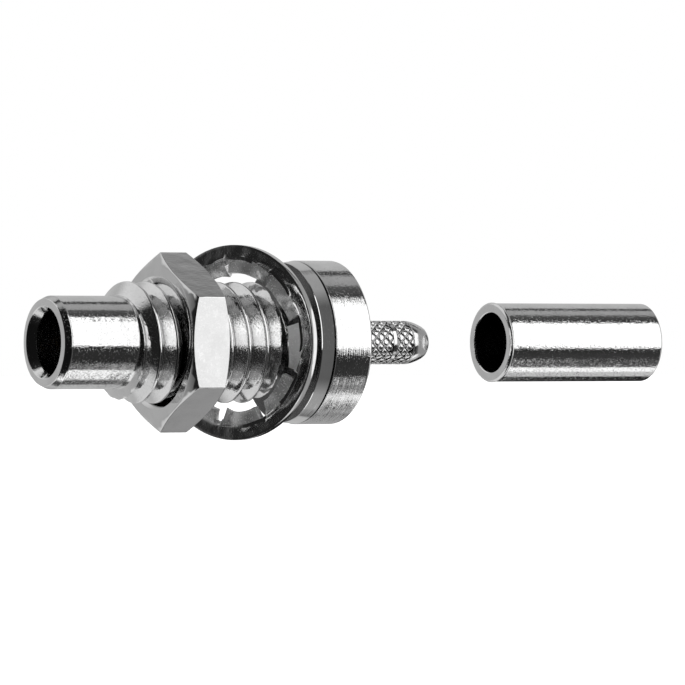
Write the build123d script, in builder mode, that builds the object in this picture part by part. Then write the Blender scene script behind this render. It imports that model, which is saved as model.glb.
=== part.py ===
from build123d import *
from math import ceil, cos, radians, sin, tan
import os

# Bulkhead coaxial crimp connector with its panel hardware and a separate crimp ferrule.
# All sizes are in millimetres. The connector's axis is X: the mating mouth points to -X
# and the cable end to +X. The origin is the centre of the panel seat, which is the
# front face of the flange. +Z is up.

# Mating barrel
barrel_d = 3.62
barrel_length = 3.25
rim_outer_d = 3.30
rim_chamfer_length = 0.29
rim_inner_d = 2.94
mouth_bore_d = 2.38
mouth_chamfer_length = 0.34
mouth_bore_depth = 1.60
land_bore_d = 2.04

# Panel thread, 32 turns to the inch, right-handed
thread_major_d = 4.75
thread_pitch = 25.4 / 32
thread_length = 7.35
shoulder_angle = 70
thread_half_angle = 30
thread_depth = 0.70 * thread_pitch
crest_flat = thread_pitch / 8
relief_length = 0.76
relief_undercut = 0.03
groove_at_near_side = -6.343
groove_overcut = 0.05
thread_spare = 2 * thread_pitch

# Flange, made of a front band on the body and a rear band on the crimp body
front_band_d = 6.40
front_band_taper = 0.12
front_band_length = 0.59
rear_band_d = 6.46
rear_band_length = 1.71
seam_chamfer = 0.055
rear_edge_chamfer = 0.09

# Inside of the body
insulator_d = 2.50
insulator_face_depth = 2.60
press_boss_d = 2.80
press_boss_length = 2.29

# Crimp spigot
spigot_d = 1.75
spigot_length = 4.24
spigot_taper_length = 0.80
spigot_tip_d = 1.26
spigot_tip_chamfer = 0.13
cable_bore_d = 0.95
cable_bore_length = 4.94
contact_chamber_d = 1.60

# Centre contact
pin_d = 0.51
pin_tip_depth = 1.90
pin_tip_flat_d = 0.26
pin_tip_length = 0.22
pin_shoulder_depth = 3.00
contact_d = 0.76
contact_rear_depth = 11.60
collar_d = 1.04
collar_depth = 5.20
collar_length = 0.30
solder_cup_d = 0.36
solder_cup_length = 1.70
solder_window_d = 0.22
pin_hole_clearance = 0.03

# Hex nut
nut_across_flats = 6.10
nut_thickness = 1.65
nut_washer_gap = 0.25
nut_sides = 6
nut_chamfer_d = 6.00
nut_chamfer_angle = 25
nut_barrel_clearance = 0.17
nut_root_clearance = 0.16
nut_countersink_d = 5.25
nut_countersink_depth = 0.42
nut_flank_clearance = 0.045
nut_crest_clearance = 0.06

# Internal-tooth lock washer, hanging loose and tilted on the thread
washer_d = 7.65
washer_thickness = 0.28
washer_tilt = 24
washer_seat_gap = 0.416
washer_thread_clearance = 0.10
washer_phase = 13
tooth_count = 9
tooth_length = 0.47
tooth_root_width = 1.95
tooth_tip_width = 1.54
tooth_twist = 12
tooth_root_sink = 0.20
tooth_root_step = 0.01

# Crimp ferrule
ferrule_d = 3.15
ferrule_bore_d = 2.38
ferrule_length = 7.34
ferrule_gap = 3.20
ferrule_lip_d = 3.24
ferrule_lip_length = 0.30
ferrule_edge = 0.10

# Stations along the axis, from the panel seat
mouth_x = -(barrel_length + thread_length)
shoulder_x = -thread_length
seam_x = front_band_length
flange_rear_x = front_band_length + rear_band_length
spigot_tip_x = flange_rear_x + spigot_length
ferrule_front_x = spigot_tip_x + ferrule_gap
ferrule_rear_x = ferrule_front_x + ferrule_length
insulator_face_x = mouth_x + insulator_face_depth
boss_front_x = seam_x - press_boss_length
washer_lean = (
    washer_d / 2 * sin(radians(washer_tilt)) + washer_thickness / 2 * cos(radians(washer_tilt))
)
washer_x = -(washer_seat_gap + washer_lean)
nut_rear_x = washer_x - washer_lean - nut_washer_gap
nut_front_x = nut_rear_x - nut_thickness
pin_shoulder_x = mouth_x + pin_shoulder_depth
contact_rear_x = mouth_x + contact_rear_depth
collar_x = mouth_x + collar_depth

# Radii
barrel_r = barrel_d / 2
thread_r = thread_major_d / 2
thread_root_r = thread_r - thread_depth
relief_r = thread_root_r - relief_undercut
shoulder_rise = thread_r + groove_overcut - barrel_r
shoulder_crest_x = shoulder_x + shoulder_rise / tan(radians(shoulder_angle))
relief_crest_x = -relief_length - (thread_r + groove_overcut - relief_r)
flank = tan(radians(thread_half_angle))
nut_bore_r = max(barrel_r + nut_barrel_clearance, thread_root_r + nut_root_clearance)
washer_tip_r = (thread_r + washer_thread_clearance) / cos(radians(washer_tilt))
washer_slot_r = washer_tip_r + tooth_length


def helical_ridge(first_x, last_x, middle_x, inner_r, inner_width, outer_r, outer_width):
    """The solid that a trapezoid sweeps along the thread, right-handed. Its middle
    crosses the near side, which is -Y, at middle_x and at whole turns from it."""
    top_x = middle_x - thread_pitch / 4
    start_x = top_x - thread_pitch * ceil((top_x - first_x) / thread_pitch)
    with BuildPart() as ridge:
        with BuildLine() as path:
            Helix(thread_pitch, last_x - start_x, outer_r, (start_x, 0, 0), (1, 0, 0))
        with BuildSketch(Plane.XZ):
            with BuildLine():
                Polyline(
                    (start_x - inner_width / 2, inner_r),
                    (start_x + inner_width / 2, inner_r),
                    (start_x + outer_width / 2, outer_r),
                    (start_x - outer_width / 2, outer_r),
                    close=True,
                )
            make_face()
        sweep(path=path.wire(), is_frenet=True)
    return ridge.part


# Thread groove, longer than the thread at both ends
groove_root_width = thread_pitch - crest_flat - 2 * thread_depth * flank
groove_top_width = thread_pitch - crest_flat + 2 * groove_overcut * flank
thread_groove = helical_ridge(
    shoulder_x - thread_pitch / 2,
    -relief_length / 2,
    groove_at_near_side,
    thread_root_r,
    groove_root_width,
    thread_r + groove_overcut,
    groove_top_width,
)

# Panel body: barrel, thread, relief and the flange's front band, turned in one piece
with BuildPart() as panel_body:
    with BuildSketch(Plane.YZ.offset(shoulder_x - thread_spare)):
        Circle(thread_r)
    extrude(amount=thread_length + 2 * thread_spare)
    add(thread_groove, mode=Mode.SUBTRACT)
    with BuildSketch(Plane.XY):
        with BuildLine():
            Polyline(
                (shoulder_x, 0),
                (shoulder_x, barrel_r),
                (shoulder_crest_x, thread_r + groove_overcut),
                (relief_crest_x, thread_r + groove_overcut),
                (-relief_length, relief_r),
                (0, relief_r),
                (0, 0),
                close=True,
            )
        make_face()
    revolve(axis=Axis.X, mode=Mode.INTERSECT)
    with BuildSketch(Plane.XY):
        with BuildLine():
            Polyline(
                (mouth_x, 0),
                (mouth_x, rim_outer_d / 2),
                (mouth_x + rim_chamfer_length, barrel_r),
                (shoulder_x, barrel_r),
                (shoulder_x, 0),
                close=True,
            )
        make_face()
    revolve(axis=Axis.X)
    with BuildSketch(Plane.XY):
        with BuildLine():
            Polyline(
                (0, 0),
                (0, front_band_d / 2 - front_band_taper / 2),
                (seam_x - seam_chamfer, front_band_d / 2),
                (seam_x, front_band_d / 2 - seam_chamfer),
                (seam_x, 0),
                close=True,
            )
        make_face()
    revolve(axis=Axis.X)
    with BuildSketch(Plane.XY):
        with BuildLine():
            Polyline(
                (mouth_x, 0),
                (mouth_x, rim_inner_d / 2),
                (mouth_x + mouth_chamfer_length, mouth_bore_d / 2),
                (mouth_x + mouth_bore_depth, mouth_bore_d / 2),
                (mouth_x + mouth_bore_depth, land_bore_d / 2),
                (insulator_face_x, land_bore_d / 2),
                (insulator_face_x, insulator_d / 2),
                (boss_front_x, insulator_d / 2),
                (boss_front_x, press_boss_d / 2),
                (seam_x, press_boss_d / 2),
                (seam_x, 0),
                close=True,
            )
        make_face()
    revolve(axis=Axis.X, mode=Mode.SUBTRACT)
panel_body.part.label = "panel_body"

# Crimp body: press boss, the flange's rear band and the crimp spigot, turned in one piece
with BuildPart() as crimp_body:
    with BuildSketch(Plane.XY):
        with BuildLine():
            Polyline(
                (boss_front_x, 0),
                (boss_front_x, press_boss_d / 2),
                (seam_x, press_boss_d / 2),
                (seam_x, rear_band_d / 2 - seam_chamfer),
                (seam_x + seam_chamfer, rear_band_d / 2),
                (flange_rear_x, rear_band_d / 2),
                (flange_rear_x, spigot_d / 2),
                (spigot_tip_x - spigot_taper_length, spigot_d / 2),
                (spigot_tip_x, spigot_tip_d / 2),
                (spigot_tip_x, 0),
                close=True,
            )
        make_face()
    revolve(axis=Axis.X)
    widest_rims = crimp_body.edges().filter_by(GeomType.CIRCLE).group_by(SortBy.RADIUS)[-1]
    chamfer(widest_rims.sort_by(Axis.X)[-1], rear_edge_chamfer)
    chamfer(crimp_body.edges().sort_by(Axis.X)[-1], spigot_tip_chamfer)
    with BuildSketch(Plane.XY):
        with BuildLine():
            Polyline(
                (boss_front_x, 0),
                (boss_front_x, contact_chamber_d / 2),
                (spigot_tip_x - cable_bore_length, contact_chamber_d / 2),
                (spigot_tip_x - cable_bore_length, cable_bore_d / 2),
                (spigot_tip_x, cable_bore_d / 2),
                (spigot_tip_x, 0),
                close=True,
            )
        make_face()
    revolve(axis=Axis.X, mode=Mode.SUBTRACT)
crimp_body.part.label = "crimp_body"

# Centre contact: a pin in front, a retaining collar, and a solder cup behind
with BuildPart() as centre_contact:
    with BuildSketch(Plane.XY):
        with BuildLine():
            Polyline(
                (mouth_x + pin_tip_depth, 0),
                (mouth_x + pin_tip_depth, pin_tip_flat_d / 2),
                (mouth_x + pin_tip_depth + pin_tip_length, pin_d / 2),
                (pin_shoulder_x, pin_d / 2),
                (pin_shoulder_x, contact_d / 2),
                (collar_x, contact_d / 2),
                (collar_x, collar_d / 2),
                (collar_x + collar_length, collar_d / 2),
                (collar_x + collar_length, contact_d / 2),
                (contact_rear_x, contact_d / 2),
                (contact_rear_x, solder_cup_d / 2),
                (contact_rear_x - solder_cup_length, solder_cup_d / 2),
                (contact_rear_x - solder_cup_length, 0),
                close=True,
            )
        make_face()
    revolve(axis=Axis.X)
    with BuildSketch(Plane.XY):
        with Locations((contact_rear_x - solder_cup_length / 2, 0)):
            Circle(solder_window_d / 2)
    extrude(amount=contact_d, mode=Mode.SUBTRACT)
centre_contact.part.label = "centre_contact"

# Insulator: a sleeve between the body's shoulder and the press boss, around the contact
with BuildPart() as insulator:
    with BuildSketch(Plane.XY):
        with BuildLine():
            Polyline(
                (insulator_face_x, pin_d / 2 + pin_hole_clearance),
                (insulator_face_x, insulator_d / 2),
                (boss_front_x, insulator_d / 2),
                (boss_front_x, contact_d / 2),
                (collar_x + collar_length, contact_d / 2),
                (collar_x + collar_length, collar_d / 2),
                (collar_x, collar_d / 2),
                (collar_x, contact_d / 2),
                (pin_shoulder_x, contact_d / 2),
                (pin_shoulder_x, pin_d / 2 + pin_hole_clearance),
                close=True,
            )
        make_face()
    revolve(axis=Axis.X)
insulator.part.label = "insulator"

# Hex nut, with its corners up and down and an internal thread in mesh with the body's
nut_half_side_angle = 180 / nut_sides
nut_corner_r = nut_across_flats / 2 / cos(radians(nut_half_side_angle))
nut_chamfer_length = (nut_corner_r - nut_chamfer_d / 2) * tan(radians(nut_chamfer_angle))
ridge_crest_r = thread_r + nut_crest_clearance
ridge_base_r = nut_bore_r - groove_overcut
ridge_crest_width = crest_flat + 2 * nut_flank_clearance
ridge_base_width = ridge_crest_width + 2 * (ridge_crest_r - ridge_base_r) * flank
nut_groove = helical_ridge(
    nut_front_x - thread_pitch,
    nut_rear_x + thread_pitch,
    groove_at_near_side + thread_pitch / 2,
    ridge_base_r,
    ridge_base_width,
    ridge_crest_r,
    ridge_crest_width,
)
with BuildPart() as hex_nut:
    with BuildSketch(Plane.YZ.offset(nut_front_x - thread_spare)):
        Circle(nut_corner_r)
        Circle(nut_bore_r, mode=Mode.SUBTRACT)
    extrude(amount=nut_thickness + 2 * thread_spare)
    add(nut_groove, mode=Mode.SUBTRACT)
    with BuildSketch(Plane.XY):
        with BuildLine():
            Polyline(
                (nut_front_x, nut_countersink_d / 2),
                (nut_front_x, nut_chamfer_d / 2),
                (nut_front_x + nut_chamfer_length, nut_corner_r),
                (nut_rear_x - nut_chamfer_length, nut_corner_r),
                (nut_rear_x, nut_chamfer_d / 2),
                (nut_rear_x, nut_countersink_d / 2),
                (nut_rear_x - nut_countersink_depth, nut_bore_r),
                (nut_rear_x - nut_countersink_depth, ridge_base_r),
                (nut_front_x + nut_countersink_depth, ridge_base_r),
                (nut_front_x + nut_countersink_depth, nut_bore_r),
                close=True,
            )
        make_face()
    revolve(axis=Axis.X, mode=Mode.INTERSECT)
    with BuildSketch(Plane.YZ.offset(nut_front_x)):
        RegularPolygon(nut_corner_r, nut_sides, rotation=nut_half_side_angle)
    extrude(amount=nut_thickness, mode=Mode.INTERSECT)
hex_nut.part.label = "hex_nut"

# Lock washer: a flat ring with teeth inside it, each twisted about its own radius. Its
# near side leans back towards the flange.
washer_plane = Plane(
    origin=(washer_x, 0, 0),
    x_dir=(0, 0, 1),
    z_dir=(cos(radians(washer_tilt)), sin(radians(washer_tilt)), 0),
)


def tooth_plane(angle, radius, twist):
    """The plane across a tooth at this radius, turned by this twist."""
    outward = washer_plane.x_dir * cos(radians(angle)) + washer_plane.y_dir * sin(radians(angle))
    across = washer_plane.z_dir.cross(outward)
    width_way = across * cos(radians(twist)) + washer_plane.z_dir * sin(radians(twist))
    return Plane(origin=washer_plane.origin + outward * radius, x_dir=width_way, z_dir=outward)


with BuildPart() as lock_washer:
    with BuildSketch(washer_plane.offset(-washer_thickness / 2)):
        Circle(washer_d / 2)
        Circle(washer_slot_r, mode=Mode.SUBTRACT)
    extrude(amount=washer_thickness)
    for tooth in range(tooth_count):
        tooth_angle = washer_phase + 360 / tooth_count * tooth
        with BuildSketch(tooth_plane(tooth_angle, washer_slot_r + tooth_root_sink, 0)):
            Rectangle(tooth_root_width, washer_thickness - 2 * tooth_root_step)
        with BuildSketch(tooth_plane(tooth_angle, washer_tip_r, tooth_twist)):
            Rectangle(tooth_tip_width, washer_thickness)
        loft(ruled=True)
lock_washer.part.label = "lock_washer"

# Crimp ferrule: a plain tube whose front lip is rolled out a little
with BuildPart() as crimp_ferrule:
    with BuildSketch(Plane.XY):
        with BuildLine():
            Polyline(
                (ferrule_front_x, ferrule_bore_d / 2 + ferrule_edge),
                (ferrule_front_x, ferrule_lip_d / 2 - ferrule_edge),
                (ferrule_front_x + ferrule_edge, ferrule_lip_d / 2),
                (ferrule_front_x + ferrule_lip_length, ferrule_d / 2),
                (ferrule_rear_x - ferrule_edge, ferrule_d / 2),
                (ferrule_rear_x, ferrule_d / 2 - ferrule_edge),
                (ferrule_rear_x, ferrule_bore_d / 2),
                (ferrule_front_x + ferrule_edge, ferrule_bore_d / 2),
                close=True,
            )
        make_face()
    revolve(axis=Axis.X)
crimp_ferrule.part.label = "crimp_ferrule"

os.makedirs("parts", exist_ok=True)
export_step(panel_body.part, "parts/panel_body.step")
export_step(crimp_body.part, "parts/crimp_body.step")
export_step(centre_contact.part, "parts/centre_contact.step")
export_step(insulator.part, "parts/insulator.step")
export_step(hex_nut.part, "parts/hex_nut.step")
export_step(lock_washer.part, "parts/lock_washer.step")
export_step(crimp_ferrule.part, "parts/crimp_ferrule.step")
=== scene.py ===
import math

import bmesh
import bpy
from mathutils import Matrix, Vector


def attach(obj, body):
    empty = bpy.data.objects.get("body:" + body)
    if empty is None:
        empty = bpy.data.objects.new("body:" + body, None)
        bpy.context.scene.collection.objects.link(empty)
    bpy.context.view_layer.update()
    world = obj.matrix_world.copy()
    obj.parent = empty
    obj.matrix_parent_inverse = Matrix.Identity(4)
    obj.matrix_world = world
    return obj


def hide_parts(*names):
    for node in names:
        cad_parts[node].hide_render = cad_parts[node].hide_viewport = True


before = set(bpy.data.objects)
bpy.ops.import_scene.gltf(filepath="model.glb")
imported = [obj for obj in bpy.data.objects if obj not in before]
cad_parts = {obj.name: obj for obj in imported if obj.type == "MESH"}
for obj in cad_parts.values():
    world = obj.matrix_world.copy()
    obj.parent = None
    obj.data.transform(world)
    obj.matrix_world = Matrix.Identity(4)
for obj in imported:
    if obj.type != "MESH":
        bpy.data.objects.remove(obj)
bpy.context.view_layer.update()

# Bulkhead coaxial crimp connector and its crimp ferrule. Metres, in the frame of the
# solids: the connector's axis is X, its mouth points to -X, and +Z is up. The pieces'
# named sizes are in millimetres.
MM = 0.001
AXIS = Vector((1, 0, 0))

# Points nearer than same_point are one, and so are those of two rims or of the solid's
# faces nearer than same_corner. A face is behind a plane if it is more than just_past
# behind it. Folds of less than smooth_below degrees are shaded smooth.
same_point = 0.0005
same_corner = 0.002
just_past = 0.02
smooth_below = 38

# Camera: level with the axis, 31 degrees round towards the mouth, close enough for
# the mouth to look a little larger than the far end
view_turn = math.radians(31)
view_distance = 250 * MM
view_centre_x = 2.836 * MM
camera_data = bpy.data.cameras.new("catalogue_camera")
camera_data.sensor_width = 36
camera_data.lens = 331.8
camera_data.clip_start = 10 * MM
camera_data.clip_end = 3
camera = bpy.data.objects.new("catalogue_camera", camera_data)
camera.location = (
    view_centre_x - view_distance * math.sin(view_turn),
    -view_distance * math.cos(view_turn),
    0,
)
camera.rotation_euler = (math.radians(90), 0, -view_turn)
bpy.context.scene.collection.objects.link(camera)
bpy.context.scene.camera = camera


def link(tree, source, target):
    tree.links.new(source, target)


def set_or_link(tree, source, socket, as_value=float):
    """A number is written into the socket, and another node's output linked to it."""
    if isinstance(source, (int, float)):
        socket.default_value = as_value(source)
    else:
        link(tree, source, socket)


def as_grey(value):
    return (value, value, value, 1)


def arithmetic(tree, operation, *terms):
    made = tree.nodes.new("ShaderNodeMath")
    made.operation = operation
    for term, socket in zip(terms, made.inputs):
        set_or_link(tree, term, socket)
    return made.outputs[0]


def grey_ramp(tree, source, stops):
    """A ramp through greys, from (position, grey) pairs."""
    made = tree.nodes.new("ShaderNodeValToRGB")
    elements = made.color_ramp.elements
    elements.remove(elements[-1])
    first_position, first_grey = stops[0]
    elements[0].position = first_position
    elements[0].color = as_grey(first_grey)
    for position, grey in stops[1:]:
        elements.new(position).color = as_grey(grey)
    link(tree, source, made.inputs["Fac"])
    return made.outputs["Color"]


def fade(tree, source, start, end, low=0.0, high=1.0, curve="SMOOTHSTEP"):
    """low where the source is at start, high where it is at end."""
    made = tree.nodes.new("ShaderNodeMapRange")
    made.interpolation_type = curve
    made.inputs["From Min"].default_value = start
    made.inputs["From Max"].default_value = end
    made.inputs["To Min"].default_value = low
    made.inputs["To Max"].default_value = high
    link(tree, source, made.inputs["Value"])
    return made.outputs["Result"]


def blend_colours(tree, factor, first, second):
    """Colour first where the factor is 0, second where it is 1."""
    made = tree.nodes.new("ShaderNodeMix")
    made.data_type = "RGBA"
    link(tree, factor, made.inputs["Factor"])
    set_or_link(tree, first, made.inputs["A"], as_grey)
    set_or_link(tree, second, made.inputs["B"], as_grey)
    return made.outputs["Result"]


def give_way(tree, place, span, first, second):
    """Colour first where the place is before the span, and second where it is past."""
    return blend_colours(tree, fade(tree, place, *span), first, second)


def choose_shader(tree, factor, first, second):
    """Shader first where the factor is 0, second where it is 1."""
    made = tree.nodes.new("ShaderNodeMixShader")
    for source, socket in zip((factor, first, second), made.inputs):
        link(tree, source, socket)
    return made.outputs[0]


# Studio: long soft strips beside the object, at these angles in degrees around its axis
# and of these greys, seen by the sides of the turned pieces. They lean a little, so the
# barrel, the thread, the flange and the ferrule see them at slightly different angles.
# 0 is level on the camera's side and 90 straight up.
UPPER_STRIPS = (
    (64, 1.60),
    (66.5, 0.05),
    (86, 0.10),
    (89, 0.36),
    (108, 0.40),
    (111, 0.06),
    (119, 0.08),
    (122.5, 0.52),
    (180, 0.54),
)
BARREL_STRIPS = (
    (-180, 0.52),
    (-129, 0.52),
    (-125, 0.10),
    (-109, 0.07),
    (-100, 1.15),
    (-73, 1.25),
    (-70, 0.04),
    (-66, 0.08),
    (-58, 0.08),
    (-50, 0.03),
    (-10, 0.03),
    (-7, 1.60),
) + UPPER_STRIPS
THREAD_STRIPS = (
    (-180, 0.36),
    (-108, 0.34),
    (-103, 0.05),
    (-86, 0.05),
    (-82, 0.60),
    (-56, 0.45),
    (-52, 0.03),
    (-11, 0.03),
    (-8, 1.06),
    (51, 1.10),
    (54, 0.03),
    (68, 0.05),
) + UPPER_STRIPS[2:]
FLANGE_STRIPS = (
    (-180, 0.40),
    (-114, 0.38),
    (-108, 0.10),
    (-100, 0.14),
    (-92, 0.32),
    (-88, 0.95),
    (-81, 0.90),
    (-77, 0.40),
    (-64, 0.40),
    (-60, 0.85),
    (-51, 0.80),
    (-48, 0.04),
    (-11, 0.03),
    (-8, 1.30),
) + UPPER_STRIPS
FERRULE_STRIPS = (
    (-180, 0.02),
    (-124, 0.02),
    (-119, 0.70),
    (-100, 0.66),
    (-97, 1.20),
    (-82, 1.30),
    (-78, 0.12),
    (-60, 0.06),
    (-20, 0.03),
    (-14, 1.60),
    (58, 1.60),
    (61, 0.03),
) + UPPER_STRIPS[2:]

# The room in front of the mouth, from the camera's side (0) to the far side (1): dark
# and then pale, with a pale panel above and below on the far side. Behind it come the
# barrel's strips once more, for views from beside the object, then a paler room, and
# then each piece's own strips. The far end is grey, with one bright window.
FRONT_ROOM = ((0.0, 0.006), (0.30, 0.006), (0.60, 0.02), (0.76, 0.42), (1.0, 0.50))
FRONT_PANEL_GREY = 0.75
BESIDE_FRONT = ((0.0, 0.13), (0.20, 0.12), (0.40, 0.36), (1.0, 0.42))
FAR_END_GREY = 0.36
FAR_WINDOW_GREY = 1.15

# Where one room gives way to the next, by the direction's share along X, or across it
# along Y, or up or down along Z
TO_THREAD = (0.4835, 0.4865)
TO_FLANGE = (0.5025, 0.5065)
TO_FERRULE = (0.526, 0.538)
TO_FRONT = (0.43, 0.38)
TO_FAR_END = (0.72, 0.84)
TO_FAR_WINDOW = (0.93, 0.95)
TO_SIDE_STRIPS = (-0.20, -0.08)
TO_BESIDE_FRONT = (0.16, 0.26)
TO_PANEL_SIDE = (0.05, 0.25)
TO_PANEL_HEIGHT = (0.40, 0.55)

world = bpy.data.worlds.new("studio")
world.use_nodes = True
bpy.context.scene.world = world
tree = world.node_tree
tree.nodes.clear()
direction = tree.nodes.new("ShaderNodeTexCoord")
parts = tree.nodes.new("ShaderNodeSeparateXYZ")
link(tree, direction.outputs["Generated"], parts.inputs[0])
along, across, upwards = parts.outputs
towards_camera = arithmetic(tree, "MULTIPLY", across, -1)
angle = arithmetic(tree, "ARCTAN2", upwards, towards_camera)
around = fade(tree, angle, -math.pi, math.pi, curve="LINEAR")
to_far_side = fade(tree, across, -1, 1, curve="LINEAR")
up_or_down = arithmetic(tree, "ABSOLUTE", upwards)


def strip_room(tree, around, strips):
    """The room with these strips, from (degrees around the axis, grey) pairs."""
    stops = [((degrees + 180) / 360, grey) for degrees, grey in strips]
    return grey_ramp(tree, around, stops)


barrel_room = strip_room(tree, around, BARREL_STRIPS)
high_or_low = fade(tree, up_or_down, *TO_PANEL_HEIGHT)
panels = give_way(tree, across, TO_PANEL_SIDE, 0, high_or_low)
front_room = grey_ramp(tree, to_far_side, FRONT_ROOM)
front_room = blend_colours(tree, panels, front_room, FRONT_PANEL_GREY)
front_room = give_way(tree, along, TO_SIDE_STRIPS, front_room, barrel_room)
beside_front = grey_ramp(tree, to_far_side, BESIDE_FRONT)
front_room = give_way(tree, along, TO_BESIDE_FRONT, front_room, beside_front)
room = barrel_room
for span, next_room in (
    (TO_THREAD, strip_room(tree, around, THREAD_STRIPS)),
    (TO_FLANGE, strip_room(tree, around, FLANGE_STRIPS)),
    (TO_FERRULE, strip_room(tree, around, FERRULE_STRIPS)),
    (TO_FRONT, front_room),
    (TO_FAR_END, FAR_END_GREY),
    (TO_FAR_WINDOW, FAR_WINDOW_GREY),
):
    room = give_way(tree, along, span, room, next_room)

# The plating sees the room, and the camera plain white
lit = tree.nodes.new("ShaderNodeBackground")
link(tree, room, lit.inputs["Color"])
seen = tree.nodes.new("ShaderNodeBackground")
seen.inputs["Color"].default_value = as_grey(1)
rays = tree.nodes.new("ShaderNodeLightPath")
backdrop = choose_shader(
    tree, rays.outputs["Is Camera Ray"], lit.outputs[0], seen.outputs[0]
)
out = tree.nodes.new("ShaderNodeOutputWorld")
link(tree, backdrop, out.inputs["Surface"])


def noise(tree, point, size, detail=2.0, stretch=(1, 1, 1)):
    """Random patches of about this size in millimetres, in Object coordinates."""
    placed = tree.nodes.new("ShaderNodeMapping")
    placed.inputs["Scale"].default_value = stretch
    link(tree, point, placed.inputs["Vector"])
    made = tree.nodes.new("ShaderNodeTexNoise")
    made.inputs["Scale"].default_value = 1 / (size * MM)
    made.inputs["Detail"].default_value = detail
    link(tree, placed.outputs[0], made.inputs["Vector"])
    return made.outputs["Fac"]


def bump(tree, height, depth, normal=None):
    """A surface with this relief, its depth in micrometres."""
    made = tree.nodes.new("ShaderNodeBump")
    made.inputs["Distance"].default_value = depth * MM / 1000
    link(tree, height, made.inputs["Height"])
    if normal is not None:
        link(tree, normal, made.inputs["Normal"])
    return made.outputs["Normal"]


def new_finish(name):
    """A material, its nodes, its shader, and the piece's own coordinates."""
    made = bpy.data.materials.new(name)
    made.use_nodes = True
    tree = made.node_tree
    point = tree.nodes.new("ShaderNodeTexCoord").outputs["Object"]
    return made, tree, tree.nodes["Principled BSDF"], point


# Marks in the plating: their sizes in millimetres, how they are drawn out along the
# axis or around it, and between which values of their noise they set in. A gap gets
# painted shade, a near-black colour, where other faces are within its reach.
patch_size = 0.9
patch_fade = (0.35, 0.65)
grain_size = 0.075
grain_fade = (0.50, 0.70)
dent_size = 0.7
speckle_size = 0.06
speckle_stretch = (0.25, 1, 1)
pit_size = 0.09
pit_fade = (0.60, 0.76)
turning_size = 0.06
turning_stretch = (1, 0.015, 0.015)
gap_reach = 0.6
gap_samples = 8
gap_shade_grey = 0.02
closed_in = 0.05


def plated(
    name,
    pale,
    dull,
    gloss=0.05,
    turning=0.0,
    speckle=1.5,
    pits=1.0,
    dents=3.0,
    painted_shade=0.6,
    open_from=0.55,
    grain=0.19,
    metal=1.0,
):
    """Bright plated metal: pale to dull in soft patches, with fine turning marks around
    the axis, a fine speckle drawn out along it, tiny pits and shallow dents, rougher in
    fine grains, and painted with shade in narrow gaps. The relief is in micrometres."""
    made, tree, shader, point = new_finish(name)
    shader.inputs["Metallic"].default_value = metal
    patches = noise(tree, point, patch_size, detail=4)
    tone = give_way(tree, patches, patch_fade, pale, dull)
    # Painted shade: where ambient occlusion finds other faces near, the colour is
    # darkened towards a near-black grey
    gaps = tree.nodes.new("ShaderNodeAmbientOcclusion")
    gaps.inputs["Distance"].default_value = gap_reach * MM
    gaps.samples = gap_samples
    open_to_light = fade(tree, gaps.outputs["AO"], closed_in, open_from, 1 - painted_shade, 1)
    tone = blend_colours(tree, open_to_light, gap_shade_grey, tone)
    link(tree, tone, shader.inputs["Base Color"])
    grains = noise(tree, point, grain_size, detail=1)
    roughness = fade(tree, grains, *grain_fade, gloss, gloss + grain)
    link(tree, roughness, shader.inputs["Roughness"])
    normal = bump(tree, noise(tree, point, dent_size, detail=1), dents)
    drawn_out = noise(tree, point, speckle_size, detail=1, stretch=speckle_stretch)
    normal = bump(tree, drawn_out, speckle, normal)
    pitted = fade(tree, noise(tree, point, pit_size, detail=0), *pit_fade)
    normal = bump(tree, pitted, pits, normal)
    if turning:
        marks = noise(tree, point, turning_size, detail=2, stretch=turning_stretch)
        normal = bump(tree, marks, turning, normal)
    link(tree, normal, shader.inputs["Normal"])
    return made


def waxy_plastic(name, pale, dull, gloss=0.45, patch=0.4, mark_size=0.08, marks=3):
    """Waxy white plastic, machined: a little mottled, with faint tool marks."""
    made, tree, shader, point = new_finish(name)
    shader.inputs["Roughness"].default_value = gloss
    mottle = noise(tree, point, patch, detail=3)
    link(tree, blend_colours(tree, mottle, pale, dull), shader.inputs["Base Color"])
    relief = bump(tree, noise(tree, point, mark_size, detail=2), marks)
    link(tree, relief, shader.inputs["Normal"])
    return made


def gold_plate(name, warm, deep, gloss=0.18, patch=0.3, mark_size=0.05, marks=1.5):
    """Thin gold over nickel: warm, deeper in soft patches, with fine turning marks."""
    made, tree, shader, point = new_finish(name)
    shader.inputs["Metallic"].default_value = 1
    shader.inputs["Roughness"].default_value = gloss
    warmth = tree.nodes.new("ShaderNodeMix")
    warmth.data_type = "RGBA"
    warmth.inputs["A"].default_value = (*warm, 1)
    warmth.inputs["B"].default_value = (*deep, 1)
    link(tree, noise(tree, point, patch, detail=3), warmth.inputs["Factor"])
    link(tree, warmth.outputs["Result"], shader.inputs["Base Color"])
    turned = noise(tree, point, mark_size, detail=2, stretch=(1, 0.02, 0.02))
    link(tree, bump(tree, turned, marks), shader.inputs["Normal"])
    return made


body_nickel = plated("turned_nickel", 0.82, 0.76, speckle=1.5)
# The bores' walls are painted dark, as painted shade
shaded_bore_nickel = plated("shaded_bore_nickel", 0.20, 0.12, gloss=0.25, speckle=5)
# The seat, the flange's front face behind the washer, is painted dark, as painted shade
shaded_seat_nickel = plated("shaded_seat_nickel", 0.14, 0.09, gloss=0.20, speckle=5)
band_nickel = plated(
    "band_nickel", 0.82, 0.76, turning=1.5, speckle=0.8, pits=0, grain=0.05
)
flange_nickel = plated("flange_nickel", 0.82, 0.74, turning=3.5)
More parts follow.
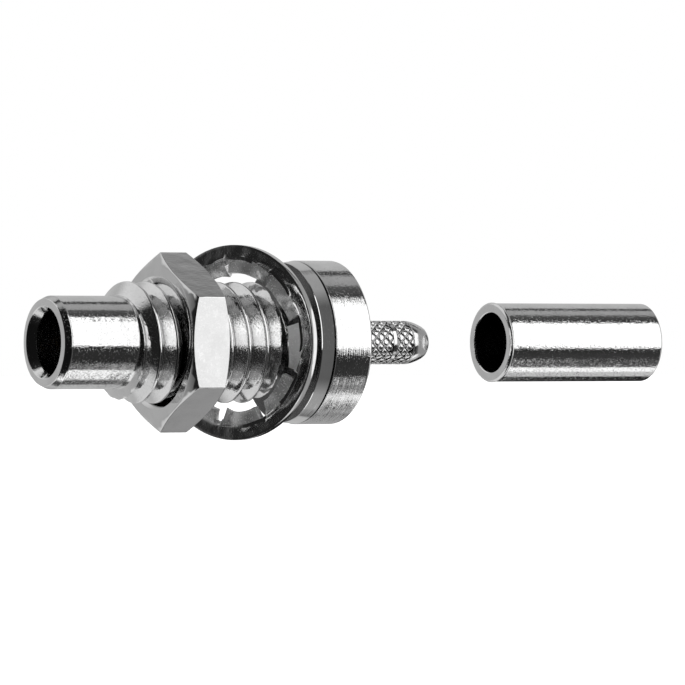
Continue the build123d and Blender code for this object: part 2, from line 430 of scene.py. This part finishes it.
# The knurl's grooves get strong painted shade
knurl_nickel = plated("knurl_nickel", 0.82, 0.74, painted_shade=0.95, open_from=0.92)
nut_nickel = plated(
    "nut_nickel", 0.76, 0.72, speckle=0.6, pits=0, dents=2.5, grain=0.03
)
washer_nickel = plated(
    "washer_nickel", 0.80, 0.70, speckle=0.6, pits=0.5, dents=12, painted_shade=0.4, grain=0.04
)
tooth_wear = {"gloss": 0.24, "speckle": 1, "pits": 0, "dents": 16, "grain": 0.05}
worn_nickel = plated("worn_nickel", 0.88, 0.62, painted_shade=0.45, metal=0.5, **tooth_wear)
# A painted highlight: the tooth on the camera's side is pale and nearly matt
highlit_tooth_nickel = plated("highlit_tooth_nickel", 0.92, 0.80, painted_shade=0.3, metal=0.1, **tooth_wear)
ferrule_nickel = plated("ferrule_nickel", 0.82, 0.76, speckle=3, pits=1.5)
# The ferrule's bore is painted near black, as painted shade
ferrule_bore = plated("ferrule_bore", 0.10, 0.06, gloss=0.25, speckle=5)
contact_gold = gold_plate("contact_gold", (0.85, 0.60, 0.24), (0.78, 0.50, 0.17))
dielectric_white = waxy_plastic("dielectric_white", 0.82, 0.72)

for node_name, finish in (
    ("centre_contact", contact_gold),
    ("insulator", dielectric_white),
):
    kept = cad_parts[node_name].data.materials
    kept.clear()
    kept.append(finish)


def draw_outline(bm, outline, closed=True):
    """The half outline of a turned piece, (x, r) in millimetres, drawn on the +Z side.
    A long run gets a ring near each end, so that its shading stays straight."""
    near_end = 0.06
    points = []
    following = list(outline[1:]) + list(outline[:1])
    for here, after in zip(outline, following if closed else following[:-1]):
        start, end = Vector(here), Vector(after)
        points.append(start)
        if (end - start).length > 4 * near_end:
            step = (end - start).normalized() * near_end
            points += [start + step, end - step]
    if not closed:
        points.append(Vector(outline[-1]))
    corners = [bm.verts.new((x * MM, 0, r * MM)) for x, r in points]
    ends = corners[1:] + corners[:1] if closed else corners[1:]
    sides = [bm.edges.new(pair) for pair in zip(corners, ends)]
    return corners + sides


def turn_round(bm, drawn, steps, turns=1, lead=0.0):
    """Spins what is drawn around the axis, and along it by lead millimetres a turn."""
    bmesh.ops.spin(
        bm,
        geom=drawn,
        cent=(0, 0, 0),
        axis=AXIS,
        dvec=(lead * MM / steps, 0, 0),
        angle=math.radians(360 * turns),
        steps=steps * turns,
        use_merge=turns == 1 and lead == 0,
    )
    bmesh.ops.remove_doubles(bm, verts=bm.verts[:], dist=same_point * MM)


def face_outwards(bm):
    bmesh.ops.recalc_face_normals(bm, faces=bm.faces[:])


def sharp_edges(bm, least_degrees):
    least = math.radians(least_degrees)
    folds = [e for e in bm.edges if len(e.link_faces) == 2]
    return [e for e in folds if e.calc_face_angle() > least]


def round_edges(bm, edges, radius, segments=2):
    bmesh.ops.bevel(
        bm,
        geom=edges,
        offset=radius * MM,
        offset_type="OFFSET",
        affect="EDGES",
        segments=segments,
        profile=0.5,
        material=-1,
        clamp_overlap=True,
    )


def paint_faces(bm, index, wanted):
    """Gives the piece's material of this index to the faces wanted, which are picked by
    the face and its middle."""
    for face in bm.faces:
        if wanted(face, face.calc_center_median()):
            face.material_index = index


def finish_piece(name, bm, body, materials, replaced):
    """The mesh as a smooth piece that rides on its body and stands for its solid."""
    mesh = bpy.data.meshes.new(name)
    bm.to_mesh(mesh)
    bm.free()
    mesh.polygons.foreach_set("use_smooth", [True] * len(mesh.polygons))
    mesh.set_sharp_from_angle(angle=math.radians(smooth_below))
    for material in materials:
        mesh.materials.append(material)
    piece = bpy.data.objects.new(name, mesh)
    bpy.context.scene.collection.objects.link(piece)
    even = piece.modifiers.new("even_normals", "WEIGHTED_NORMAL")
    even.keep_sharp = True
    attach(piece, body)
    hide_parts(replaced)
    return piece


# Panel body: one turned surface from the barrel over the mouth to the flange, open
# where the thread goes, and the thread itself, swept along the axis as it turns. The
# seat, the front face of the flange, is at X = 0.
mouth_x = -10.60
shoulder_x = -7.35
relief_x = -0.76
seam_x = 0.59
seam_half_width = 0.035
boss_front_x = -1.70
insulator_front_x = -8.0
land_front_x = -9.0
barrel_r = 1.81
relief_r = 1.7894
seat_edge_r = 3.14
front_band_r = 3.205
seam_r = 3.05
boss_r = 1.40
insulator_r = 1.25
land_r = 1.02
mouth_bore_r = 1.19
mouth_chamfer = 0.34
rim_inner_r = 1.42
rim_outer_r = 1.69
rim_lean = 0.035
rim_chamfer = 0.29
before_seam_x = 0.5
band_inner_r = 3.0
bore_walls_r = 1.26
thread_r = 2.375
thread_pitch = 25.4 / 32
thread_depth = 0.70 * thread_pitch
root_r = thread_r - thread_depth
flank_slope = math.tan(math.radians(30))
crest_half = thread_pitch / 16
root_half = thread_pitch / 2 - crest_half - thread_depth * flank_slope
groove_at_near_side = -6.343
groove_at_top = groove_at_near_side - thread_pitch / 4
shoulder_slope = math.tan(math.radians(70))
thread_turns = 11
flank_height = 0.2
flank_cuts = 9
thread_rounding = 0.022
body_rounding = 0.02
turn_steps = 96


def thread_limit(x):
    """The radius that the thread's two ends are turned down to."""
    front = barrel_r + max(0, x - shoulder_x) * shoulder_slope
    back = relief_r + max(0, relief_x - x)
    return min(front, back)


bm = bmesh.new()
turns_to_front = math.ceil((groove_at_top - shoulder_x) / thread_pitch) + 1
first_x = groove_at_top - thread_pitch * turns_to_front
drawn = draw_outline(
    bm,
    (
        (first_x, root_r),
        (first_x + root_half, root_r),
        (first_x + thread_pitch / 2 - crest_half, thread_r),
        (first_x + thread_pitch / 2 + crest_half, thread_r),
        (first_x + thread_pitch - root_half, root_r),
        (first_x + thread_pitch, root_r),
    ),
    closed=False,
)
turn_round(bm, drawn, turn_steps, turns=thread_turns, lead=thread_pitch)
face_outwards(bm)
round_edges(bm, sharp_edges(bm, least_degrees=30), thread_rounding)

# The flanks are cut finer, and each end is turned down to its cone and cut off
flank_rails = [
    e
    for e in bm.edges
    if abs(e.verts[0].co.yz.length - e.verts[1].co.yz.length) > flank_height * MM
]
bmesh.ops.subdivide_edges(bm, edges=flank_rails, cuts=flank_cuts, use_grid_fill=True)
for vert in bm.verts:
    radius = vert.co.yz.length
    limit = thread_limit(vert.co.x / MM) * MM
    if radius > limit:
        vert.co.yz *= limit / radius
for cut_x, away in ((shoulder_x, -1), (relief_x, 1)):
    bmesh.ops.bisect_plane(
        bm,
        geom=bm.verts[:] + bm.edges[:] + bm.faces[:],
        plane_co=(cut_x * MM, 0, 0),
        plane_no=(away, 0, 0),
        clear_outer=True,
    )

# Each cut rim keeps one corner per step of the turning, to meet the turned surface
spoke = 360 / turn_steps
share_off_spoke = 0.02
between_spokes = []
for vert in bm.verts:
    past_spoke = math.degrees(math.atan2(vert.co.y, vert.co.z)) / spoke
    if vert.is_boundary and abs(past_spoke - round(past_spoke)) > share_off_spoke:
        between_spokes.append(vert)
bmesh.ops.dissolve_verts(bm, verts=between_spokes)
thread_middle_x = (shoulder_x + relief_x) / 2
for vert in bm.verts:
    if vert.is_boundary:
        rim_r = barrel_r if vert.co.x < thread_middle_x * MM else relief_r
        vert.co.yz *= rim_r * MM / vert.co.yz.length

drawn = draw_outline(
    bm,
    (
        (relief_x, relief_r),
        (0, relief_r),
        (0, seat_edge_r),
        (seam_x - seam_half_width, front_band_r),
        (seam_x - seam_half_width, seam_r),
        (seam_x, seam_r),
        (seam_x, boss_r),
        (boss_front_x, boss_r),
        (boss_front_x, insulator_r),
        (insulator_front_x, insulator_r),
        (insulator_front_x, land_r),
        (land_front_x, land_r),
        (land_front_x, mouth_bore_r),
        (mouth_x + mouth_chamfer, mouth_bore_r),
        (mouth_x, rim_inner_r),
        (mouth_x + rim_lean, rim_outer_r),
        (mouth_x + rim_chamfer, barrel_r),
        (shoulder_x, barrel_r),
    ),
    closed=False,
)
old = set(bm.faces)
turn_round(bm, drawn, turn_steps)
face_outwards(bm)
turned = []
for edge in sharp_edges(bm, least_degrees=20):
    corner = edge.verts[0].co
    at_seam = corner.x > before_seam_x * MM and corner.yz.length > band_inner_r * MM
    if not at_seam and not any(face in old for face in edge.link_faces):
        turned.append(edge)
round_edges(bm, turned, body_rounding)
bmesh.ops.remove_doubles(bm, verts=bm.verts[:], dist=same_corner * MM)
face_outwards(bm)


def in_bore(face, middle):
    """The walls of the bores, without the steps between them."""
    return middle.yz.length < bore_walls_r * MM and abs(face.normal.x) < 0.5


def on_seat(face, middle):
    """The flat front of the flange."""
    return abs(middle.x) < just_past * MM and face.normal.x < -0.9


def on_front_band(face, middle):
    return middle.x > just_past * MM and middle.yz.length > band_inner_r * MM


# The bores' walls and the seat are painted dark as painted shade; the front band gets
# its own turned finish
for index, wanted in ((1, in_bore), (2, on_seat), (3, on_front_band)):
    paint_faces(bm, index, wanted)
finish_piece(
    "panel_body_turned",
    bm,
    "connector",
    [body_nickel, shaded_bore_nickel, shaded_seat_nickel, band_nickel],
    "panel_body",
)

# Crimp body: boss and flange band turned as one, and a spigot with two knurled bands
flange_rear_x = 2.30
rear_band_r = 3.23
rear_edge = 0.09
contact_chamber_r = 0.80
chamber_end_x = 1.60
cable_bore_r = 0.475
spigot_r = 0.875
knurl_depth = 0.075
groove_r = spigot_r - knurl_depth
knurl_gap_x = 4.72
second_knurl_x = 4.86
knurl_end_x = 5.63
plain_ring_r = 0.86
spigot_tip = (
    (knurl_end_x, 0.864),
    (5.76, 0.858),
    (5.95, 0.82),
    (6.15, 0.755),
    (6.34, 0.675),
    (6.46, 0.60),
    (6.52, 0.53),
    (6.54, cable_bore_r),
)
crimp_rounding = 0.015
bm = bmesh.new()
drawn = draw_outline(
    bm,
    (
        (boss_front_x, contact_chamber_r),
        (boss_front_x, boss_r),
        (seam_x, boss_r),
        (seam_x, seam_r),
        (seam_x + seam_half_width, seam_r),
        (seam_x + seam_half_width, rear_band_r),
        (flange_rear_x - rear_edge, rear_band_r),
        (flange_rear_x, rear_band_r - rear_edge),
        (flange_rear_x, groove_r),
        (knurl_end_x, groove_r),
        *spigot_tip,
        (chamber_end_x, cable_bore_r),
        (chamber_end_x, contact_chamber_r),
    ),
)
turn_round(bm, drawn, turn_steps)
face_outwards(bm)
round_edges(bm, sharp_edges(bm, least_degrees=24), crimp_rounding)

knurl_cells = 13
diamond_shoulder = 0.05
diamond_height = 0.06
diamond_top = 0.03
diamond_crown = 0.012
above_groove = 0.01
sleeve_inner_r = 0.70
ring_sunk = 0.05


def knurled_band(bm, start_x, end_x, rows):
    """A sleeve of raised diamonds, made upright and then laid along X. A plain tube's
    quads are poked, and joined in pairs across their old sides into diamonds, which are
    then raised off the groove floor. A wall inside the spigot closes the sleeve."""
    made = bmesh.new()
    bmesh.ops.create_cone(
        made,
        segments=knurl_cells,
        radius1=groove_r * MM,
        radius2=groove_r * MM,
        depth=(end_x - start_x) * MM,
    )
    upright = [
        e
        for e in made.edges
        if abs(e.verts[0].co.z - e.verts[1].co.z) > same_point * MM
    ]
    bmesh.ops.subdivide_edges(made, edges=upright, cuts=rows - 1, use_grid_fill=True)
    old_sides = [e for e in made.edges if len(e.link_faces) == 2]
    poked = bmesh.ops.poke(made, faces=made.faces[:])
    for vert in poked["verts"]:
        vert.co.xy *= groove_r * MM / vert.co.xy.length
    bmesh.ops.dissolve_edges(made, edges=old_sides, use_verts=False)
    face_outwards(made)
    bmesh.ops.inset_individual(
        made,
        faces=made.faces[:],
        thickness=diamond_shoulder * MM,
        depth=diamond_height * MM,
    )
    raised_r = (groove_r + above_groove) * MM
    tops = [f for f in made.faces if all(v.co.xy.length > raised_r for v in f.verts)]
    bmesh.ops.inset_individual(
        made, faces=tops, thickness=diamond_top * MM, depth=diamond_crown * MM
    )
    rims = [e for e in made.edges if e.is_boundary]
    for drawn_in in bmesh.ops.extrude_edge_only(made, edges=rims)["geom"]:
        if isinstance(drawn_in, bmesh.types.BMVert):
            drawn_in.co.xy *= sleeve_inner_r * MM / drawn_in.co.xy.length
    bmesh.ops.bridge_loops(made, edges=[e for e in made.edges if e.is_boundary])
    middle_x = (start_x + end_x) / 2 * MM
    lay_down = Matrix.Rotation(math.radians(90), 4, "Y")
    laid = Matrix.Translation((middle_x, 0, 0)) @ lay_down
    bmesh.ops.transform(made, matrix=laid, verts=made.verts[:])
    face_outwards(made)
    mesh = bpy.data.meshes.new("knurl")
    made.to_mesh(mesh)
    made.free()
    bm.from_mesh(mesh)
    bpy.data.meshes.remove(mesh)


plain_faces = set(bm.faces)
knurled_band(bm, flange_rear_x, knurl_gap_x, rows=6)
knurled_band(bm, second_knurl_x, knurl_end_x, rows=2)
drawn = draw_outline(
    bm,
    (
        (knurl_gap_x, groove_r - ring_sunk),
        (knurl_gap_x, plain_ring_r),
        (second_knurl_x, plain_ring_r),
        (second_knurl_x, groove_r - ring_sunk),
    ),
)
turn_round(bm, drawn, turn_steps)


def on_knurl(face, middle):
    return middle.x > (flange_rear_x + just_past) * MM and face not in plain_faces


paint_faces(bm, 1, on_knurl)
finish_piece(
    "crimp_body_knurled",
    bm,
    "connector",
    [flange_nickel, knurl_nickel],
    "crimp_body",
)

# Crimp ferrule: a tube with its front lip rolled out
ferrule_front_x = 9.74
ferrule_rear_x = 17.08
ferrule_r = 1.575
ferrule_bore_r = 1.19
bore_margin = 0.01
bore_edge = 0.05
rear_chamfer = 0.10
rolled_lip = ((0, 1.50), (0.05, 1.585), (0.09, 1.61), (0.16, ferrule_r))
ferrule_rounding = 0.02
bm = bmesh.new()
drawn = draw_outline(
    bm,
    (
        (ferrule_front_x + bore_edge, ferrule_bore_r),
        (ferrule_front_x, ferrule_bore_r + bore_edge),
        *((ferrule_front_x + behind_front, r) for behind_front, r in rolled_lip),
        (ferrule_rear_x - rear_chamfer, ferrule_r),
        (ferrule_rear_x, ferrule_r - rear_chamfer),
        (ferrule_rear_x, ferrule_bore_r),
    ),
)
turn_round(bm, drawn, turn_steps)
face_outwards(bm)
round_edges(bm, sharp_edges(bm, least_degrees=24), ferrule_rounding)


def in_ferrule(face, middle):
    return middle.yz.length < (ferrule_bore_r + bore_margin) * MM


# The bore is painted dark, as painted shade
paint_faces(bm, 1, in_ferrule)
finish_piece(
    "crimp_ferrule_rolled",
    bm,
    "ferrule",
    [ferrule_nickel, ferrule_bore],
    "crimp_ferrule",
)

# Lock washer: a flat ring with slots cut in from its hole, the teeth between them
# twisted, its cut edges rounded. A tooth swells in its middle and is cupped at its tip.
washer_r = 3.825
tooth_tip_r = 2.709
slot_end_r = 3.17
washer_thickness = 0.28
washer_tilt = math.radians(24)
washer_seat_gap = 0.416
washer_lean = washer_r * math.sin(washer_tilt)
washer_lean += washer_thickness / 2 * math.cos(washer_tilt)
washer_x = -(washer_seat_gap + washer_lean)
washer_steps = 360
washer_rounding = 0.06
tooth_rings = 4
rim_rings = 6
tooth_count = 9
tooth_phase = 13
tooth_half_angle = 17.4
tooth_narrowing = 1.8
tooth_twist = math.radians(15)
twist_starts_r = slot_end_r + 0.12
worn_reach = slot_end_r + 0.08
slot_end_margin = 0.1
tooth_pillow = 0.18
tooth_cup = 0.08
tooth_half_width = 0.86
highlit_half_height = 1.2


def off_its_tooth(point):
    """How far a point of the flat washer lies clockwise of its tooth's middle, in
    degrees, seen from the mouth."""
    clockwise = math.degrees(math.atan2(-point.y, point.z))
    between = 360 / tooth_count
    return (clockwise - tooth_phase + between / 2) % between - between / 2


bm = bmesh.new()
tooth_length = slot_end_r - tooth_tip_r
rim_width = washer_r - slot_end_r
rings = [tooth_tip_r + tooth_length * i / tooth_rings for i in range(tooth_rings)]
rings += [slot_end_r + rim_width * i / rim_rings for i in range(rim_rings + 1)]
corners = [bm.verts.new((0, 0, r * MM)) for r in rings]
sides = [bm.edges.new(pair) for pair in zip(corners, corners[1:])]
turn_round(bm, corners + sides, washer_steps)
slots = []
for face in bm.faces:
    middle = face.calc_center_median()
    radius = middle.yz.length / MM
    half_tooth = tooth_half_angle - tooth_narrowing * (slot_end_r - radius)
    if radius < slot_end_r and abs(off_its_tooth(middle)) > half_tooth:
        slots.append(face)
bmesh.ops.delete(bm, geom=slots, context="FACES")
for vert in bm.verts:
    radius = vert.co.yz.length / MM
    reach = min(1, max(0, (twist_starts_r - radius) / (twist_starts_r - tooth_tip_r)))
    sideways = radius * math.sin(math.radians(off_its_tooth(vert.co)))
    off_middle = min(1, abs(sideways) / tooth_half_width)
    pillow = tooth_pillow * math.cos(math.pi / 2 * off_middle) ** 2
    cupped = tooth_cup * reach**1.5
    vert.co.x += ((sideways * math.tan(tooth_twist) - pillow) * reach + cupped) * MM
face_outwards(bm)
bmesh.ops.solidify(bm, geom=bm.faces[:], thickness=washer_thickness * MM)
near_slot_ends = [
    v.co.x
    for v in bm.verts
    if abs(v.co.yz.length - slot_end_r * MM) < slot_end_margin * MM
]
middle_x = sum(near_slot_ends) / len(near_slot_ends)
round_edges(bm, sharp_edges(bm, least_degrees=50), washer_rounding, segments=3)
settle = (
    Matrix.Translation((washer_x * MM, 0, 0))
    @ Matrix.Rotation(washer_tilt, 4, "Z")
    @ Matrix.Translation((-middle_x, 0, 0))
)
bmesh.ops.transform(bm, matrix=settle, verts=bm.verts[:])
face_outwards(bm)
washer_middle = Vector((washer_x * MM, 0, 0))


def on_tooth(face, middle):
    return (middle - washer_middle).length < worn_reach * MM


def on_highlit_tooth(face, middle):
    """The tooth level with the axis on the camera's side, which gets a painted
    highlight.
    """
    level = middle.y < 0 and abs(middle.z) < highlit_half_height * MM
    return level and on_tooth(face, middle)


# A worn finish on the teeth, and a painted highlight on the tooth level with the axis
# on the camera's side
paint_faces(bm, 1, on_tooth)
paint_faces(bm, 2, on_highlit_tooth)
finish_piece(
    "lock_washer_stamped",
    bm,
    "washer",
    [washer_nickel, worn_nickel, highlit_tooth_nickel],
    "lock_washer",
)

# Hex nut: the solid's own faces, with their outer edges rounded
nut_thread_r = 2.5
nut_rounding = 0.035
flat_within = 0.5
bm = bmesh.new()
bm.from_mesh(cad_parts["hex_nut"].data)
bmesh.ops.remove_doubles(bm, verts=bm.verts[:], dist=same_corner * MM)
bmesh.ops.dissolve_limit(
    bm,
    angle_limit=math.radians(flat_within),
    verts=bm.verts[:],
    edges=bm.edges[:],
    use_dissolve_boundaries=False,
)
outer = [
    e
    for e in sharp_edges(bm, least_degrees=12)
    if all(v.co.yz.length > nut_thread_r * MM for v in e.verts)
]
round_edges(bm, outer, nut_rounding)
finish_piece("hex_nut_faced", bm, "nut", [nut_nickel], "hex_nut")

# Floor: pale, and white to the camera apart from the object's own soft shadow. The
# plating sees the studio's lower strips through it.
floor_z = -3.84
floor_reach = 400
floor_grey = 0.9
floor_roughness = 0.9
floor_glow = 0.9
bm = bmesh.new()
bmesh.ops.create_grid(bm, x_segments=1, y_segments=1, size=floor_reach * MM)
bmesh.ops.translate(bm, verts=bm.verts[:], vec=(0, 0, floor_z * MM))
floor_mesh = bpy.data.meshes.new("floor")
bm.to_mesh(floor_mesh)
bm.free()
floor = bpy.data.objects.new("floor", floor_mesh)
bpy.context.scene.collection.objects.link(floor)
floor_paint = bpy.data.materials.new("floor_paint")
floor_paint.use_nodes = True
tree = floor_paint.node_tree
paint = tree.nodes["Principled BSDF"]
paint.inputs["Base Color"].default_value = as_grey(floor_grey)
paint.inputs["Roughness"].default_value = floor_roughness
rays = tree.nodes.new("ShaderNodeLightPath")
glow = fade(tree, rays.outputs["Is Camera Ray"], 0, 1, 0, floor_glow, curve="LINEAR")
paint.inputs["Emission Color"].default_value = as_grey(1)
link(tree, glow, paint.inputs["Emission Strength"])
clear = tree.nodes.new("ShaderNodeBsdfTransparent")
seen_or_clear = choose_shader(
    tree, rays.outputs["Is Glossy Ray"], paint.outputs[0], clear.outputs[0]
)
link(tree, seen_or_clear, tree.nodes["Material Output"].inputs["Surface"])
floor_mesh.materials.append(floor_paint)

bpy.context.scene.view_settings.view_transform = "Standard"
